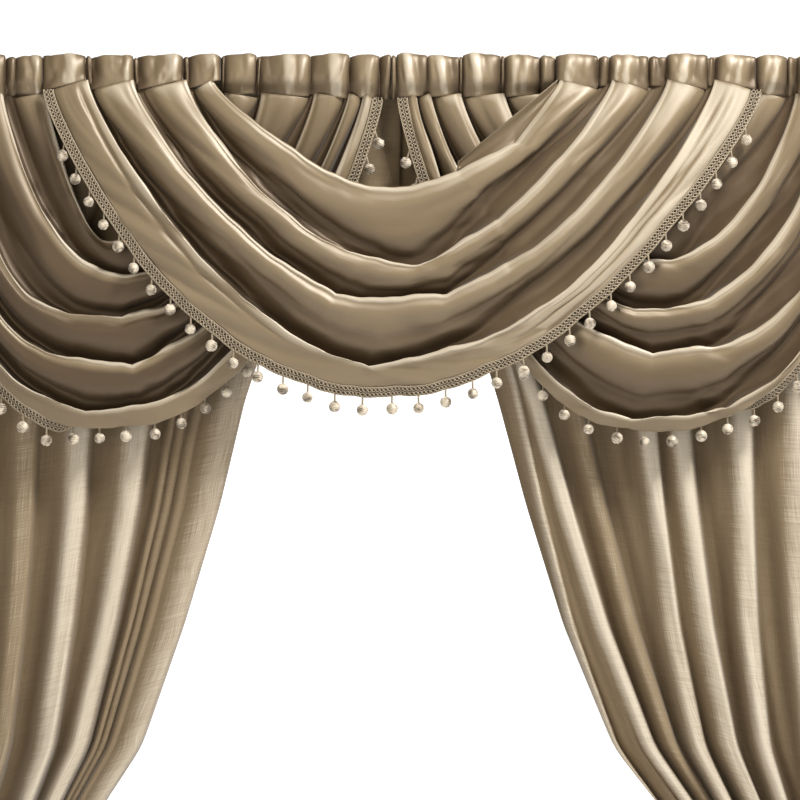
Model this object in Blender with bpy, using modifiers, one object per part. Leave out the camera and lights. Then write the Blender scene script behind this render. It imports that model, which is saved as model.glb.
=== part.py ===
"""Swag and tail drape: three satin swags that share a rod, over two curtain panels tied back as tails.

Metres. X runs along the rod, -Y faces the room and +Z is up. Z is 0 at the top edge of the swags' rod
pockets, over the middle of the rod, which isn't part of the drape.
"""

import math
from collections import namedtuple

import bmesh
import bpy
from mathutils import Vector

# Cloth and joints
SATIN_THICK = 0.0016
PANEL_THICK = 0.0016
POCKET_THICK = 0.0016
SEAM_GAP = 0.0003
PANEL_SEAM_DROP = 0.052

# Rod pockets: a loop of cloth that hangs from the rod to its seam
POCKET_TOP = 0.0008
POCKET_HALF_DEPTH = 0.0160
POCKET_LOBE = 0.0045
SEAM_LEAN = 3.0
GATHER_CROWNS = (0.40, 0.62)
PANEL_ROD_Y = 0.0403

# Swags: how a fold line climbs from its lowest point to the seam
STEEP_SHARE = 0.18
TUCK_POWER = 6.0
FACE_SHARE_ALONG = 0.56
OVERHANG_FROM = 0.62
TUCK_AT_SEAM = 0.0035

# Braid and its balls
BRAID_WIDTH = 0.0165
BRAID_THICK = 0.0034
BRAID_GAP = 0.0008
BALL_PITCH = 0.040
BALL_RADIUS = 0.0080
STRING_LENGTH = 0.0105
STRING_ROOT = 0.0090
STRING_RADIUS = 0.0018
BALL_CLEAR = 0.0015
BALL_SIDES = 4
BALL_RINGS = ((-0.35, 0.94), (0.55, 0.86))

# Curtain panels
PANEL_FOLD_STEPS = 3
PANEL_GATHERS = 4
TIE_DROP = 1.440
TIE_HEIGHT = 0.064
TIE_THICK = 0.0030
TIE_SIDES = 14
WAIST_X = 0.724
WAIST_HALF_WIDTH = 0.056
WAIST_HALF_DEPTH = 0.034
WAIST_HALF_HEIGHT = 0.042
WAIST_REACH = 0.13
WAIST_INSIDE = 0.94
TIE_CLEAR = 0.0004

SATIN = ("champagne satin", (0.43, 0.36, 0.26, 1.0), 0.38, 0.10)
BAND = ("satin pocket band", (0.40, 0.33, 0.24, 1.0), 0.40, 0.10)
BRAID = ("gimp braid with balls", (0.36, 0.30, 0.21, 1.0), 0.55, 0.0)
PANEL = ("slubbed panel cloth", (0.46, 0.40, 0.30, 1.0), 0.60, 0.0)

# A fold line hangs between two places on the rod's seam. ends and middle are how far it stands to the
# room, face_left and face_right the share of the way to the next line that lies flat where it is sewn.
Fold = namedtuple(
    "Fold",
    "name left low right drop power_left power_right ends middle tuck face_left face_right",
)
Swag = namedtuple("Swag", "name folds columns seam_drop front_power first_ball last_ball")

CENTRE_FOLDS = (
    Fold("cowl", -0.275, -0.025, 0.244, 0.208, 1.38, 2.15, 0.0150, 0.050, 0.020, 0.66, 0.72),
    Fold("first", -0.315, 0.020, 0.322, 0.313, 2.20, 1.64, 0.0150, 0.064, 0.022, 0.76, 0.60),
    Fold("second", -0.395, -0.015, 0.405, 0.369, 1.95, 2.10, 0.0150, 0.072, 0.024, 0.84, 0.76),
    Fold("third", -0.463, -0.042, 0.476, 0.462, 1.73, 2.27, 0.0150, 0.074, 0.0, 1.0, 1.0),
    Fold("hem", -0.513, 0.0, 0.529, 0.500, 2.40, 1.86, 0.0150, 0.062, 0.0, 1.0, 1.0),
)
LEFT_FOLDS = (
    Fold("cowl", -0.534, -0.440, -0.2595, 0.283, 1.65, 2.20, 0.0, 0.014, 0.014, 0.68, 0.86),
    Fold("first", -0.592, -0.410, -0.204, 0.334, 2.20, 2.30, 0.0, 0.025, 0.018, 0.72, 0.86),
    Fold("second", -0.656, -0.430, -0.125, 0.394, 2.40, 2.40, 0.0, 0.029, 0.020, 0.74, 0.80),
    Fold("third", -0.716, -0.430, -0.072, 0.460, 2.45, 2.15, 0.0, 0.031, 0.018, 0.76, 0.76),
    Fold("fourth", -0.764, -0.420, -0.050, 0.534, 2.45, 1.90, 0.0, 0.029, 0.0, 1.0, 1.0),
    Fold("hem", -0.783, -0.435, -0.0375, 0.564, 2.40, 2.40, 0.0, 0.018, 0.0, 1.0, 1.0),
)
RIGHT_FOLDS = (
    Fold("cowl", 0.228, 0.405, 0.541, 0.262, 2.00, 1.85, 0.0, 0.014, 0.014, 0.86, 0.68),
    Fold("first", 0.161, 0.385, 0.598, 0.310, 2.00, 2.40, 0.0, 0.025, 0.018, 0.86, 0.72),
    Fold("second", 0.096, 0.392, 0.662, 0.382, 2.10, 2.45, 0.0, 0.029, 0.020, 0.80, 0.74),
    Fold("third", 0.050, 0.405, 0.720, 0.442, 2.35, 2.45, 0.0, 0.031, 0.018, 0.76, 0.76),
    Fold("fourth", 0.029, 0.385, 0.766, 0.546, 2.45, 2.45, 0.0, 0.029, 0.0, 1.0, 1.0),
    Fold("hem", 0.0165, 0.388, 0.785, 0.566, 2.30, 2.50, 0.0, 0.018, 0.0, 1.0, 1.0),
)
SWAGS = (
    Swag("swag_centre", CENTRE_FOLDS, 26, 0.052, 5.0, 0.080, 0.055),
    Swag("swag_left", LEFT_FOLDS, 20, 0.066, 2.2, 0.050, 0.045),
    Swag("swag_right", RIGHT_FOLDS, 20, 0.066, 2.2, 0.075, 0.050),
)

# The section of a fold from one line to the next: share is the way down to the next line, back the share of
# the tuck's depth behind the face. At its lowest the cloth dips behind the next line and comes up to it.
Bend = namedtuple("Bend", "share_middle back_middle share_face share_tuck back_ends")
BENDS = (
    Bend(0.00, 0.00, 0.00, 0.00, 0.00),
    Bend(0.26, -0.14, 0.45, 0.00, -0.22),
    Bend(0.64, 0.12, 0.93, 0.00, 0.02),
    Bend(0.98, 0.74, 1.00, 0.32, 0.88),
    Bend(1.13, 1.00, 1.00, 0.56, 1.00),
    Bend(1.10, 0.46, 1.00, 0.80, 0.86),
)
FLAT_SHARES = (0.0, 0.34, 0.68, 1.0)

# One rod pocket for each side of a swag, with the edges of its gathers
Pocket = namedtuple("Pocket", "name seam_front seam_drop gathers")
POCKETS = (
    Pocket("pocket_left_outer", 0.0, 0.066, (-0.8000, -0.752, -0.694, -0.640, -0.587, -0.5306)),
    Pocket("pocket_centre_left", 0.0150, 0.052, (-0.5300, -0.464, -0.391, -0.317, -0.2643)),
    Pocket("pocket_left_inner", 0.0, 0.066, (-0.2637, -0.209, -0.129, -0.075, -0.032, -0.0093)),
    Pocket("pocket_right_inner", 0.0, 0.066, (-0.0087, 0.047, 0.094, 0.157, 0.2377)),
    Pocket("pocket_centre_right", 0.0150, 0.052, (0.2383, 0.306, 0.393, 0.475, 0.5377)),
    Pocket("pocket_right_outer", 0.0, 0.066, (0.5383, 0.590, 0.643, 0.697, 0.748, 0.8000)),
)
# Points round a pocket's section, from its seam up the room side and down the wall side. swell and rise are
# how much of a gather's lobe stands out and up there.
Around = namedtuple("Around", "depth height swell rise")
POCKET_SECTION = (
    Around(-0.20, 1.00, 0.0, 0.0),
    Around(-0.95, 0.62, 0.8, 0.0),
    Around(-1.00, 0.26, 1.0, 0.3),
    Around(-0.70, 0.00, 0.6, 1.0),
    Around(0.70, 0.00, 0.4, 1.0),
    Around(1.00, 0.26, 0.5, 0.3),
    Around(0.95, 0.62, 0.4, 0.0),
    Around(0.20, 1.00, 0.0, 0.0),
)

# A panel's edges and the depth of its folds at each level under the rod
Level = namedtuple("Level", "drop inner outer fold")
LEFT_LEVELS = (
    Level(0.0523, 0.006, -0.797, 0.006),
    Level(0.130, 0.006, -0.797, 0.011),
    Level(0.215, 0.004, -0.797, 0.013),
    Level(0.310, -0.072, -0.797, 0.014),
    Level(0.420, -0.168, -0.796, 0.015),
    Level(0.520, -0.229, -0.795, 0.016),
    Level(0.680, -0.268, -0.794, 0.018),
    Level(0.860, -0.322, -0.793, 0.020),
    Level(1.045, -0.387, -0.791, 0.023),
    Level(1.190, -0.482, -0.789, 0.027),
    Level(1.310, -0.596, -0.785, 0.031),
    Level(1.400, -0.668, -0.780, 0.034),
    Level(1.480, -0.668, -0.780, 0.034),
    Level(1.570, -0.634, -0.789, 0.034),
    Level(1.740, -0.586, -0.800, 0.032),
    Level(2.134, -0.540, -0.808, 0.029),
)
RIGHT_LEVELS = (
    Level(0.0523, -0.006, 0.797, 0.006),
    Level(0.130, -0.006, 0.797, 0.011),
    Level(0.215, -0.004, 0.797, 0.013),
    Level(0.310, 0.046, 0.797, 0.014),
    Level(0.420, 0.104, 0.796, 0.015),
    Level(0.520, 0.151, 0.795, 0.016),
    Level(0.680, 0.196, 0.794, 0.018),
    Level(0.860, 0.252, 0.793, 0.020),
    Level(1.045, 0.328, 0.791, 0.023),
    Level(1.190, 0.440, 0.789, 0.027),
    Level(1.310, 0.582, 0.785, 0.031),
    Level(1.400, 0.668, 0.780, 0.034),
    Level(1.480, 0.668, 0.780, 0.034),
    Level(1.570, 0.634, 0.789, 0.034),
    Level(1.740, 0.586, 0.800, 0.032),
    Level(2.134, 0.540, 0.808, 0.029),
)
# Where each fold of a panel stands to the room, as a share of the way from its inner to its outer edge
LEFT_CRESTS = (0.05, 0.15, 0.26, 0.43, 0.58, 0.72, 0.86)
RIGHT_CRESTS = (0.0, 0.10, 0.30, 0.40, 0.54, 0.70, 0.86)


def clear_scene():
    for obj in list(bpy.data.objects):
        bpy.data.objects.remove(obj, do_unlink=True)


def material(finish):
    """A Principled material for one kind of cloth."""
    name, colour, roughness, metallic = finish
    found = bpy.data.materials.get(name)
    if found:
        return found
    made = bpy.data.materials.new(name)
    made.use_nodes = True
    shader = made.node_tree.nodes["Principled BSDF"]
    shader.inputs["Base Color"].default_value = colour
    shader.inputs["Roughness"].default_value = roughness
    shader.inputs["Metallic"].default_value = metallic
    return made


def collection(name):
    made = bpy.data.collections.new(name)
    bpy.context.scene.collection.children.link(made)
    return made


def object_from(mesh_builder, name, finish, home):
    """An object of that name from a bmesh, which it frees."""
    mesh = bpy.data.meshes.new(name)
    mesh_builder.to_mesh(mesh)
    mesh_builder.free()
    mesh.shade_smooth()
    obj = bpy.data.objects.new(name, mesh)
    obj.data.materials.append(material(finish))
    home.objects.link(obj)
    return obj


def sheet(name, finish, home, across, down, place, thick, around=False):
    """A cloth of across by down squares, with corners at place(i, j). around closes it into a tube."""
    builder = bmesh.new()
    bmesh.ops.create_grid(builder, x_segments=across, y_segments=down, size=1.0)
    for vertex in builder.verts:
        i = round((vertex.co.x + 1.0) / 2.0 * across)
        j = round((vertex.co.y + 1.0) / 2.0 * down)
        vertex.co = place(i, j)
    if around:
        bmesh.ops.remove_doubles(builder, verts=builder.verts, dist=1e-6)
    bmesh.ops.recalc_face_normals(builder, faces=builder.faces)
    obj = object_from(builder, name, finish, home)
    solid = obj.modifiers.new("thickness", "SOLIDIFY")
    solid.thickness = thick
    solid.offset = 0.0
    return obj


def climb(share, power):
    """How far up a fold line has climbed at that share of the way from its lowest point to the seam."""
    steep = 1.0 - math.sqrt(max(0.0, 1.0 - share * share))
    return (1.0 - STEEP_SHARE) * share**power + STEEP_SHARE * steep


def line_point(swag, line, u):
    """A point of a fold line, u from -1 at the left seam to 1 at the right one."""
    fold = swag.folds[line]
    share = abs(math.sin(u * math.pi / 2.0))
    end, power = (fold.left, fold.power_left) if u < 0 else (fold.right, fold.power_right)
    x = fold.low + (end - fold.low) * share
    z = -fold.drop + (fold.drop - swag.seam_drop - SEAM_GAP) * climb(share, power)
    front = fold.ends + (fold.middle - fold.ends) * (1.0 - share**swag.front_power)
    return Vector((x, -front, z))


def fold_point(swag, cell, step, u):
    """A point of the cloth between two fold lines, at one of the bends of the section."""
    upper, lower = line_point(swag, cell, u), line_point(swag, cell + 1, u)
    if cell == len(swag.folds) - 2:
        return upper.lerp(lower, FLAT_SHARES[step])
    share = abs(math.sin(u * math.pi / 2.0))
    fold, bend = swag.folds[cell], BENDS[step]
    sewn = fold.face_left if u < 0 else fold.face_right
    face = FACE_SHARE_ALONG + (sewn - FACE_SHARE_ALONG) * share**TUCK_POWER
    over = max(0.0, 1.0 - share / OVERHANG_FROM)
    over = over * over * (3.0 - 2.0 * over)
    along = bend.share_face * face + bend.share_tuck * (1.0 - face)
    down = along + (bend.share_middle - along) * over
    back = bend.back_ends + (bend.back_middle - bend.back_ends) * over
    depth = fold.tuck + (TUCK_AT_SEAM - fold.tuck) * share**TUCK_POWER
    point = upper + (lower - upper) * down
    point.y += back * depth
    return point


def swag_rows(folds):
    """The rows of a swag from its cowl edge to its hem, as the cell and the bend of each."""
    rows = [(cell, step) for cell in range(len(folds) - 2) for step in range(len(BENDS))]
    return rows + [(len(folds) - 2, step) for step in range(len(FLAT_SHARES))]


def make_swag(swag, home):
    rows = swag_rows(swag.folds)
    columns = swag.columns

    def place(i, j):
        cell, step = rows[j]
        return fold_point(swag, cell, step, 2.0 * i / columns - 1.0)

    return sheet(swag.name, SATIN, home, columns, len(rows) - 1, place, SATIN_THICK)


def hem_frame(swag, u):
    """The hem's point, and the direction in which the cloth would go on past it."""
    hem, above = line_point(swag, -1, u), line_point(swag, -2, u)
    return hem, (hem - above).normalized()


def hem_spots(swag):
    """Where the balls hang: the hem's u at even distances along it."""
    steps = 400
    us = [2.0 * i / steps - 1.0 for i in range(steps + 1)]
    points = [line_point(swag, -1, u) for u in us]
    along = [0.0]
    for a, b in zip(points, points[1:]):
        along.append(along[-1] + (b - a).length)
    usable = along[-1] - swag.first_ball - swag.last_ball
    count = round(usable / BALL_PITCH)
    spots = []
    for k in range(count + 1):
        target = swag.first_ball + usable * k / count
        i = next(n for n in range(1, steps + 1) if along[n] >= target)
        part = (target - along[i - 1]) / (along[i] - along[i - 1])
        spots.append(us[i - 1] + (us[i] - us[i - 1]) * part)
    return spots


def ball_on_string(builder, edge, outward):
    """One ball under the braid's lower edge, hanging down but clear of the braid where that is steep."""
    root = edge - outward * STRING_ROOT
    fall = STRING_LENGTH + BALL_RADIUS
    centre = edge + Vector((0.0, 0.0, -fall))
    away = (centre - edge).dot(outward)
    centre += outward * max(0.0, BALL_RADIUS + BALL_CLEAR - away)
    aim = (centre - root).normalized()
    rings = [(centre - aim * BALL_RADIUS, STRING_RADIUS)]
    rings += [(centre + aim * BALL_RADIUS * at, BALL_RADIUS * wide) for at, wide in BALL_RINGS]
    levels = len(rings) + 1
    made = bmesh.ops.create_uvsphere(builder, u_segments=BALL_SIDES, v_segments=levels, radius=1.0)["verts"]
    heights = sorted({round(v.co.z, 4) for v in made}, reverse=True)
    turn = Vector((0.0, 0.0, -1.0)).rotation_difference(aim)
    for vertex in made:
        level = heights.index(round(vertex.co.z, 4))
        flat = Vector((vertex.co.x, vertex.co.y, 0.0))
        if level == 0:
            vertex.co = root
        elif level == len(heights) - 1:
            vertex.co = centre + aim * BALL_RADIUS
        else:
            middle, radius = rings[level - 1]
            vertex.co = middle + turn @ (flat.normalized() * radius)


def make_trim(swag, home, helpers):
    """The braid that goes on from a swag's hem, with the balls that hang from it, as one piece."""

    def place(i, j):
        hem, outward = hem_frame(swag, 2.0 * i / swag.columns - 1.0)
        return hem + outward * (BRAID_GAP + BRAID_WIDTH * j)

    name = swag.name.replace("swag", "trim")
    braid = sheet(name, BRAID, home, swag.columns, 1, place, BRAID_THICK)
    builder = bmesh.new()
    for u in hem_spots(swag):
        position = (u + 1.0) / 2.0 * swag.columns
        i = min(int(position), swag.columns - 1)
        edge = place(i, 1).lerp(place(i + 1, 1), position - i)
        inner = place(i, 0).lerp(place(i + 1, 0), position - i)
        ball_on_string(builder, edge, (edge - inner).normalized())
    bmesh.ops.recalc_face_normals(builder, faces=builder.faces)
    balls = object_from(builder, name + "_balls", BRAID, helpers)
    balls.hide_render = True
    balls.display_type = "WIRE"
    join = braid.modifiers.new("balls", "BOOLEAN")
    join.operation = "UNION"
    join.object = balls
    return braid


def gather_stations(gathers):
    """Stations along a pocket, as x and how full the gather's lobe stands there."""
    stations = [(gathers[0], 0.0)]
    for k, (start, end) in enumerate(zip(gathers, gathers[1:])):
        crown = GATHER_CROWNS[k % 2]
        stations += [(start + crown * (end - start), 1.0), (end, 0.0)]
    return stations


def make_pocket(pocket, finish, axis_y, home):
    """A loop of cloth round a rod. Its seam lies seam_front nearer the room than the rod."""
    stations = gather_stations(pocket.gathers)
    last = len(POCKET_SECTION)
    top = POCKET_TOP + POCKET_LOBE + POCKET_THICK / 2.0
    drop = pocket.seam_drop - top - POCKET_THICK / 2.0

    def place(i, j):
        x, full = stations[i]
        around = POCKET_SECTION[j % last]
        swell = POCKET_LOBE * around.swell * full
        y = around.depth * POCKET_HALF_DEPTH + math.copysign(swell, around.depth)
        y -= pocket.seam_front * around.height**SEAM_LEAN
        return Vector((x, axis_y + y, POCKET_LOBE * around.rise * full - top - drop * around.height))

    return sheet(pocket.name, finish, home, len(stations) - 1, last, place, POCKET_THICK, around=True)


def fold_wave(crests, u):
    """Depth of a panel's fold at u, from -1 at a crest towards the room to 1 in a valley."""
    marks = [(0.0, 1.0)] if crests[0] > 0.0 else []
    for first, second in zip(crests, crests[1:]):
        marks += [(first, -1.0), ((first + second) / 2.0, 1.0)]
    marks += [(crests[-1], -1.0), (1.0, 1.0)]
    for (a, ya), (b, yb) in zip(marks, marks[1:]):
        if u <= b:
            part = (u - a) / (b - a)
            return ya + (yb - ya) * (1.0 - math.cos(part * math.pi)) / 2.0
    return marks[-1][1]


def panel_stations(crests):
    """Shares across a panel: PANEL_FOLD_STEPS of them from each crest to the next."""
    stations = [0.0] if crests[0] > 0.0 else []
    for a, b in zip(crests, crests[1:]):
        stations += [a + (b - a) * k / PANEL_FOLD_STEPS for k in range(PANEL_FOLD_STEPS)]
    return stations + [crests[-1], (crests[-1] + 1.0) / 2.0, 1.0]


def waist_share(drop):
    """1 where the tie holds the panel and 0 well away from it."""
    away = max(0.0, abs(drop - TIE_DROP) - WAIST_HALF_HEIGHT) / WAIST_REACH
    return max(0.0, 1.0 - away) ** 2


def panel_point(level, crests, u):
    x = level.inner + (level.outer - level.inner) * u
    held = waist_share(level.drop)
    round_in = math.sqrt(max(0.0, 1.0 - (2.0 * u - 1.0) ** 2))
    depth = level.fold * (1.0 - held + held * round_in * WAIST_INSIDE)
    return Vector((x, PANEL_ROD_Y + fold_wave(crests, u) * depth, -level.drop))


def make_panel(name, levels, crests, home):
    stations = panel_stations(crests)

    def place(i, j):
        return panel_point(levels[j], crests, stations[i])

    return sheet(name, PANEL, home, len(stations) - 1, len(levels) - 1, place, PANEL_THICK)


def make_tie(name, side, home):
    """A plain band of the panel's cloth round its waist."""
    centre = Vector((side * WAIST_X, PANEL_ROD_Y, -TIE_DROP))
    corner = 1.0 / math.cos(math.pi / TIE_SIDES)
    half_width = (WAIST_HALF_WIDTH + TIE_CLEAR + TIE_THICK / 2.0) * corner
    half_depth = (WAIST_HALF_DEPTH + TIE_CLEAR + TIE_THICK / 2.0) * corner

    def place(i, j):
        turn = 2.0 * math.pi * (j % TIE_SIDES) / TIE_SIDES
        height = TIE_HEIGHT * (i / 2.0 - 0.5)
        return centre + Vector((half_width * math.cos(turn), half_depth * math.sin(turn), height))

    return sheet(name, PANEL, home, 2, TIE_SIDES, place, TIE_THICK, around=True)


def panel_pocket(name, side):
    """The rod pocket of a panel, with even gathers."""
    ends = (0.0012 * side, 0.7970 * side)
    start, end = min(ends), max(ends)
    gathers = tuple(start + (end - start) * k / PANEL_GATHERS for k in range(PANEL_GATHERS + 1))
    return Pocket(name, 0.0, PANEL_SEAM_DROP, gathers)


def main():
    clear_scene()
    home = collection("swag_and_tail_drape")
    helpers = collection("helpers")
    for swag in SWAGS:
        make_swag(swag, home)
        make_trim(swag, home, helpers)
    for pocket in POCKETS:
        make_pocket(pocket, BAND, 0.0, home)
    make_panel("panel_left", LEFT_LEVELS, LEFT_CRESTS, home)
    make_panel("panel_right", RIGHT_LEVELS, RIGHT_CRESTS, home)
    make_pocket(panel_pocket("panel_pocket_left", -1), PANEL, PANEL_ROD_Y, home)
    make_pocket(panel_pocket("panel_pocket_right", 1), PANEL, PANEL_ROD_Y, home)
    make_tie("tieback_left", -1, home)
    make_tie("tieback_right", 1, home)


main()
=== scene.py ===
import math
from collections import namedtuple

import bpy
import numpy as np
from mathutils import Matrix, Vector


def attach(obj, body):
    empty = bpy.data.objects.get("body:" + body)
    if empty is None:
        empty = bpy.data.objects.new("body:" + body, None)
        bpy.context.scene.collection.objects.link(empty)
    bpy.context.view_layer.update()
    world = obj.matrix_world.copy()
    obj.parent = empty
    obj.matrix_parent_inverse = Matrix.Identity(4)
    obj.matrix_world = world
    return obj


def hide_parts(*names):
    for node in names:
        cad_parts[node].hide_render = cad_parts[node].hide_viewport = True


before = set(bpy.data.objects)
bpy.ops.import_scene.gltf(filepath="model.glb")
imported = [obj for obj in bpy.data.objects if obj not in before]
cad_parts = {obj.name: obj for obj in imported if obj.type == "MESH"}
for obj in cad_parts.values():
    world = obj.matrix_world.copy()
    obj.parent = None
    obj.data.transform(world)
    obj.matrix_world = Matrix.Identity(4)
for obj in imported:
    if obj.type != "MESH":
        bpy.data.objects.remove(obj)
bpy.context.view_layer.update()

# The room. A pale floor sweeps up into a pale wall far behind the drape, so that it can be seen from all round.
# One soft light hangs high on the right and a weak warm one low on the left, and the camera looks square on.
SWEEP_PROFILE = ((-45.0, -2.30), (10.1, -2.30), (11.2, -2.10), (11.8, -1.5), (12.0, -0.7), (12.0, 10.0))
SWEEP_HALF_WIDTH = 45.0
PICTURE_CENTRE = Vector((0.0045, 0.0, -0.5205))
PICTURE_WIDTH = 1.2
CAMERA_DISTANCE = 5.0

scene = bpy.context.scene
scene.view_settings.view_transform = "Standard"

sweep_mesh = bpy.data.meshes.new("sweep")
sweep_mesh.from_pydata(
    [(x, y, z) for y, z in SWEEP_PROFILE for x in (-SWEEP_HALF_WIDTH, SWEEP_HALF_WIDTH)],
    [],
    [(2 * k, 2 * k + 1, 2 * k + 3, 2 * k + 2) for k in range(len(SWEEP_PROFILE) - 1)],
)
sweep_mesh.shade_smooth()
sweep = bpy.data.objects.new("sweep", sweep_mesh)
scene.collection.objects.link(sweep)
sweep_paint = bpy.data.materials.new("pale sweep")
sweep_paint.use_nodes = True
sweep_shader = sweep_paint.node_tree.nodes["Principled BSDF"]
sweep_shader.inputs["Base Color"].default_value = (0.86, 0.86, 0.86, 1.0)
sweep_shader.inputs["Roughness"].default_value = 0.9
sweep_shader.inputs["Emission Color"].default_value = (1.0, 1.0, 1.0, 1.0)
sweep_shader.inputs["Emission Strength"].default_value = 0.77
sweep.data.materials.append(sweep_paint)


def soft_light(name, place, aim, size, watts, tint):
    """A square soft light that looks at aim."""
    lamp = bpy.data.lights.new(name, "AREA")
    lamp.size, lamp.energy, lamp.color = size, watts, tint
    made = bpy.data.objects.new(name, lamp)
    made.location = place
    made.rotation_euler = (Vector(aim) - Vector(place)).to_track_quat("-Z", "Y").to_euler()
    scene.collection.objects.link(made)


soft_light("key", (1.7, -1.7, 2.3), (0.0, 0.0, -0.4), 1.0, 230.0, (1.0, 1.0, 1.0))
soft_light("fill", (-1.4, -3.4, 0.4), (0.0, 0.0, -0.7), 1.4, 28.0, (1.0, 0.92, 0.80))
room_air = bpy.data.worlds.new("room air")
room_air.use_nodes = True
room_air.node_tree.nodes["Background"].inputs["Color"].default_value = (1.0, 0.94, 0.86, 1.0)
room_air.node_tree.nodes["Background"].inputs["Strength"].default_value = 0.08
scene.world = room_air

lens = bpy.data.cameras.new("camera")
lens.sensor_width = 36.0
lens.lens = lens.sensor_width * CAMERA_DISTANCE / PICTURE_WIDTH
camera = bpy.data.objects.new("camera", lens)
camera.location = PICTURE_CENTRE + Vector((0.0, -CAMERA_DISTANCE, 0.0))
camera.rotation_euler = (math.radians(90.0), 0.0, 0.0)
scene.collection.objects.link(camera)
scene.camera = camera

# The swags. Each is one piece of champagne satin, gathered into a rod pocket at both ends and left to hang
# between them, so its pleats fall in deep cowl folds. A Line is the rim of one fold, or the hem, from seam to
# seam, and behind each rim the cloth tucks back and comes up again.
Line = namedtuple("Line", "name left low right drop power_left power_right front tuck face_left face_right")
Kink = namedtuple("Kink", "line at depth reach")
Crease = namedtuple("Crease", "cell at start end height width")
# A Swag's shade is painted shade on its faces past each rim.
Swag = namedtuple("Swag", "name lines kinks creases seam_front seam_high seam_low front_power shade seed")
Row = namedtuple("Row", "at back hollow")
STEEP_SHARE = 0.18
TUCK_POWER = 6.0
FACE_LEFT_RUN = 0.60
FACE_RIGHT_RUN = 0.42
OVERHANG_FROM = 0.62
SEAM_TUCK = 0.010
SATIN_THICK = 0.0012
SWAG_COLUMNS = 190
ROWS_PER_BEND = 4
RIPPLE_HEIGHT = 0.0014
CRINKLE_HEIGHT = 0.0060
SEAM_FOLD_HEIGHT = 0.0045
# Creases that dip into the cloth get painted shade, so much for each metre of dip, and only a share of the rows'
# painted shade is used.
CREASE_PAINTED_SHADE_PER_METRE = 45.0
TROUGH_SHARE = 0.85
# Rows of the cloth from one rim to the next, in four places. at runs from 0 to 1 down the fold's face and from 1
# to 2 through the tuck behind it (in the middle: straight on down), back is how deep the row lies in the tuck,
# and the third value is how much painted shade the row's colour gets, 1 deep in the dark of the fold.
AT_SEAM = (
    Row(0.00, 0.25, 0.00),
    Row(0.05, 0.02, 0.00),
    Row(0.11, -0.05, 0.12),
    Row(0.24, -0.30, 0.02),
    Row(0.50, -0.35, 0.02),
    Row(0.80, -0.10, 0.08),
    Row(1.00, 0.45, 0.30),
    Row(1.30, 1.00, 1.00),
    Row(1.66, 1.00, 1.00),
    Row(1.95, 0.80, 1.00),
    Row(2.02, 0.45, 0.70),
)
LEFT_RUN = (
    Row(0.00, 0.00, 0.00),
    Row(0.035, -0.07, 0.00),
    Row(0.09, -0.03, 0.15),
    Row(0.24, -0.13, 0.05),
    Row(0.50, -0.06, 0.22),
    Row(0.80, 0.20, 0.50),
    Row(1.00, 0.54, 0.80),
    Row(1.30, 0.88, 1.00),
    Row(1.66, 1.00, 1.00),
    Row(1.95, 0.78, 1.00),
    Row(2.02, 0.24, 0.80),
)
RIGHT_RUN = (
    Row(0.00, 0.00, 0.00),
    Row(0.12, -0.13, 0.00),
    Row(0.24, -0.15, 0.08),
    Row(0.44, -0.20, 0.00),
    Row(0.70, -0.15, 0.04),
    Row(0.93, 0.08, 0.35),
    Row(1.03, 0.42, 0.90),
    Row(1.12, 0.66, 1.00),
    Row(1.38, 0.68, 0.66),
    Row(1.72, 0.40, 0.50),
    Row(1.96, 0.09, 0.34),
)
MIDDLE = (
    Row(0.00, 0.00, 0.00),
    Row(0.03, -0.07, 0.00),
    Row(0.08, -0.03, 0.18),
    Row(0.20, -0.06, 0.06),
    Row(0.42, 0.04, 0.24),
    Row(0.66, 0.26, 0.46),
    Row(0.88, 0.60, 0.80),
    Row(1.06, 0.94, 1.00),
    Row(1.12, 0.94, 1.00),
    Row(1.09, 0.58, 1.00),
    Row(1.02, 0.14, 0.80),
)
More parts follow.
